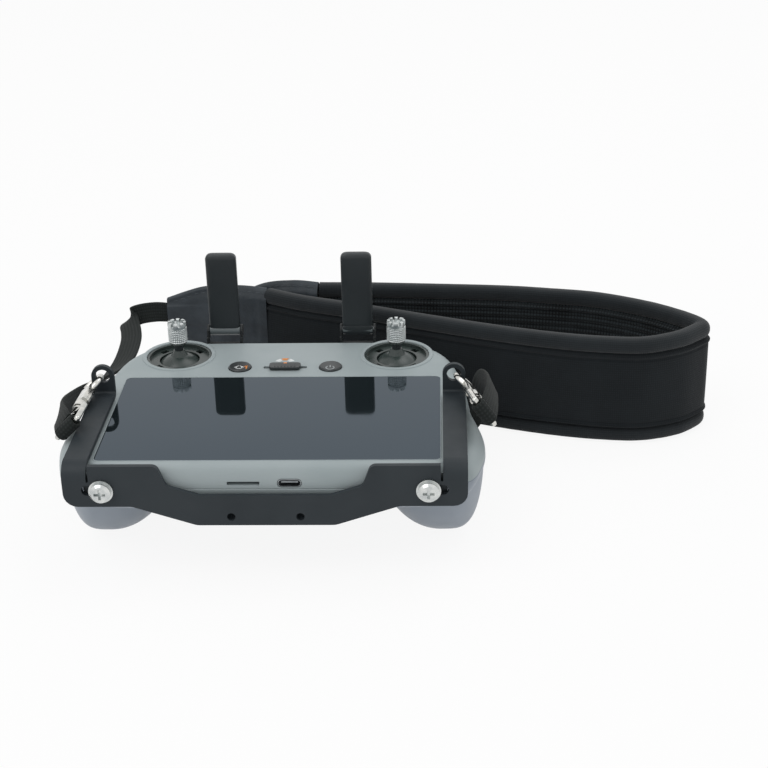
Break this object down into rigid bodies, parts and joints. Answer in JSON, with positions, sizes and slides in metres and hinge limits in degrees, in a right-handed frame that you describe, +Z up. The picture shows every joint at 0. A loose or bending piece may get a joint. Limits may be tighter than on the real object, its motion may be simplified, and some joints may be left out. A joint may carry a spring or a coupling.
{
  "type": "radio transmitter controller",
  "caption": "Hand-held radio controller with a screen, two sticks and folding antennas, in a metal bracket hung from a padded neck strap.",
  "frame": {"origin": "on the table, straight below the middle of the screen's cover glass", "axes": "+X to the user's right, +Y away from the user, +Z up, square to the flat face"},
  "size_m": [0.2771, 0.2005, 0.0854],
  "materials": {
    "top_casing": "fine spark texture",
    "bottom_casing": "fine spark texture",
    "cover_glass": "polished",
    "display": "gloss",
    "die_cast": "as cast",
    "circuit_board": "solder resist",
    "tin_plate": "tinned",
    "cell_wrap": "shrink film",
    "switch_plastic": "moulded",
    "knob_metal": "turned and anodised",
    "pin_steel": "ground",
    "red_plastic": "satin",
    "bracket_paint": "satin powder coat",
    "zinc_plate": "zinc plated",
    "pad_rubber": "matt",
    "hook_nickel": "nickel plated",
    "pad_fabric": "neoprene with knitted facing",
    "binding_tape": "folded tape",
    "strap_leather": "smooth grain",
    "strap_webbing": "woven",
    "antenna_plastic": "satin",
    "black_plastic": "satin"
  },
  "bodies": {
    "controller": {"top_shell": "top_casing", "bottom_shell": "bottom_casing", "cover_glass": "cover_glass", "display_panel": "display", "mid_frame": "die_cast", "main_board": "circuit_board", "shield_cans": "tin_plate", "heat_sink": "die_cast", "fan_frame": "black_plastic", "battery_cells": "cell_wrap", "cell_saddles": "black_plastic", "speaker": "black_plastic", "port_board": "circuit_board", "usb_socket": "tin_plate", "card_socket": "tin_plate", "key_board": "circuit_board", "tact_switches": "switch_plastic", "left_gimbal_housing": "black_plastic", "right_gimbal_housing": "black_plastic", "gimbal_covers": "black_plastic", "dial_axles": "pin_steel", "antenna_brackets": "antenna_plastic", "antenna_pins": "pin_steel", "casing_screws": "pin_steel", "harness_plate": "bracket_paint", "nut_plates": "zinc_plate", "clamp_screws": "zinc_plate", "clamp_washers": "zinc_plate", "bracket_pads": "pad_rubber", "left_hook": "hook_nickel", "right_hook": "hook_nickel", "gate_pins": "pin_steel", "hook_eyes": "hook_nickel", "neck_pad": "pad_fabric", "pad_bindings": "binding_tape", "leather_ends": "strap_leather", "left_webbing": "strap_webbing", "right_webbing": "strap_webbing"},
    "left_yoke": {"left_gimbal_yoke": "die_cast"},
    "right_yoke": {"right_gimbal_yoke": "die_cast"},
    "left_stick": {"left_stick_shaft": "black_plastic", "left_stick_dome": "black_plastic", "left_knob": "knob_metal"},
    "right_stick": {"right_stick_shaft": "black_plastic", "right_stick_dome": "black_plastic", "right_knob": "knob_metal"},
    "fan": {"fan_rotor": "black_plastic"},
    "home_key": {"home_button": "black_plastic"},
    "power_key": {"power_button": "black_plastic"},
    "mode_switch": {"mode_slider": "black_plastic"},
    "left_wheel": {"left_dial": "black_plastic"},
    "right_wheel": {"right_dial": "black_plastic"},
    "record_key": {"record_button": "red_plastic"},
    "shutter_key": {"shutter_button": "black_plastic"},
    "left_back_key": {"left_back_button": "black_plastic"},
    "right_back_key": {"right_back_button": "black_plastic"},
    "left_aerial": {"left_antenna": "antenna_plastic"},
    "right_aerial": {"right_antenna": "antenna_plastic"},
    "left_gate": {"left_hook_gate": "hook_nickel"},
    "right_gate": {"right_hook_gate": "hook_nickel"}
  },
  "joints": [
    {"name": "left_stick_sideways", "type": "hinge", "parent": "controller", "child": "left_yoke", "pos_m": [-0.0476, 0.06, 0.0355], "axis": [0, 1, 0], "range_deg": [-18, 18], "stiffness_Nm_per_rad": 0.03},
    {"name": "left_stick_fore_aft", "type": "hinge", "parent": "left_yoke", "child": "left_stick", "pos_m": [-0.0476, 0.06, 0.0355], "axis": [1, 0, 0], "range_deg": [-18, 18], "stiffness_Nm_per_rad": 0.03},
    {"name": "right_stick_sideways", "type": "hinge", "parent": "controller", "child": "right_yoke", "pos_m": [0.0476, 0.06, 0.0355], "axis": [0, 1, 0], "range_deg": [-18, 18], "stiffness_Nm_per_rad": 0.03},
    {"name": "right_stick_fore_aft", "type": "hinge", "parent": "right_yoke", "child": "right_stick", "pos_m": [0.0476, 0.06, 0.0355], "axis": [1, 0, 0], "range_deg": [-18, 18], "stiffness_Nm_per_rad": 0.03},
    {"name": "home_press", "type": "slide", "parent": "controller", "child": "home_key", "axis": [0, 0, -1], "range_m": [0, 0.0006], "stiffness_N_per_m": 150},
    {"name": "power_press", "type": "slide", "parent": "controller", "child": "power_key", "axis": [0, 0, -1], "range_m": [0, 0.0006], "stiffness_N_per_m": 150},
    {"name": "mode_slide", "type": "slide", "parent": "controller", "child": "mode_switch", "axis": [1, 0, 0], "range_m": [-0.0024, 0.0024]},
    {"name": "left_wheel_turn", "type": "hinge", "parent": "controller", "child": "left_wheel", "pos_m": [-0.052, 0.066, 0.0233], "axis": [0, 0, 1], "range_deg": [-25, 25], "stiffness_Nm_per_rad": 0.008},
    {"name": "right_wheel_turn", "type": "hinge", "parent": "controller", "child": "right_wheel", "pos_m": [0.052, 0.066, 0.0233], "axis": [0, 0, 1], "range_deg": [-25, 25], "stiffness_Nm_per_rad": 0.008},
    {"name": "record_press", "type": "slide", "parent": "controller", "child": "record_key", "axis": [0.899, -0.438, 0], "range_m": [0, 0.001], "stiffness_N_per_m": 150},
    {"name": "shutter_press", "type": "slide", "parent": "controller", "child": "shutter_key", "axis": [-0.899, -0.438, 0], "range_m": [0, 0.001], "stiffness_N_per_m": 150},
    {"name": "left_back_press", "type": "slide", "parent": "controller", "child": "left_back_key", "axis": [0, 0, 1], "range_m": [0, 0.0008], "stiffness_N_per_m": 150},
    {"name": "right_back_press", "type": "slide", "parent": "controller", "child": "right_back_key", "axis": [0, 0, 1], "range_m": [0, 0.0008], "stiffness_N_per_m": 150},
    {"name": "left_aerial_tilt", "type": "hinge", "parent": "controller", "child": "left_aerial", "pos_m": [-0.0298, 0.0815, 0.049], "axis": [-1, 0, 0], "range_deg": [-30, 180]},
    {"name": "right_aerial_tilt", "type": "hinge", "parent": "controller", "child": "right_aerial", "pos_m": [0.0298, 0.0815, 0.049], "axis": [-1, 0, 0], "range_deg": [-30, 76]},
    {"name": "fan_spin", "type": "hinge", "parent": "controller", "child": "fan", "pos_m": [0, 0.014, 0.0279], "axis": [0, 0, 1], "continuous": true},
    {"name": "left_gate_open", "type": "hinge", "parent": "controller", "child": "left_gate", "pos_m": [-0.07889, 0.00959, 0.05069], "axis": [0.6654, -0.0192, -0.7462], "range_deg": [0, 18], "stiffness_Nm_per_rad": 0.02},
    {"name": "right_gate_open", "type": "hinge", "parent": "controller", "child": "right_gate", "pos_m": [0.07965, 0.00968, 0.05181], "axis": [0.6703, 0.2165, 0.7098], "range_deg": [0, 18], "stiffness_Nm_per_rad": 0.02}
  ]
}
